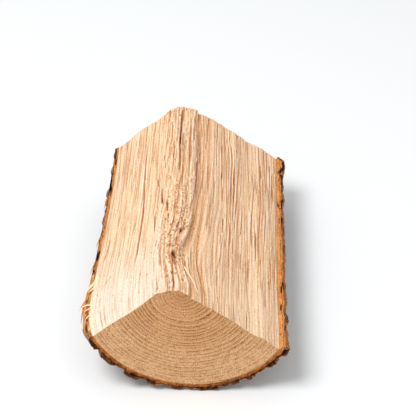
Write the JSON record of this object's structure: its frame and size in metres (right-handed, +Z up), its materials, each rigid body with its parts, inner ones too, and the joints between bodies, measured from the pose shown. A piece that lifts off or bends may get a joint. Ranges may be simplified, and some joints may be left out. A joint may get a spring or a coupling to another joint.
{
  "type": "split log",
  "caption": "Split firewood log: a third of a round trunk with two cleft faces, sawn ends and bark on its round side.",
  "frame": {"origin": "bottom centre of the bounding box, where the log lies on its bark", "axes": "+Y runs along the grain from the front sawn end to the back one, +Z is up towards the crest between the two cleft faces"},
  "size_m": [0.1992, 0.33, 0.1213],
  "materials": {
    "wood": "freshly cleft and sawn, unfinished",
    "bark": "rough ridged bark"
  },
  "bodies": {
    "root": {"split_wood": "wood", "bark": "bark"}
  },
  "joints": []
}
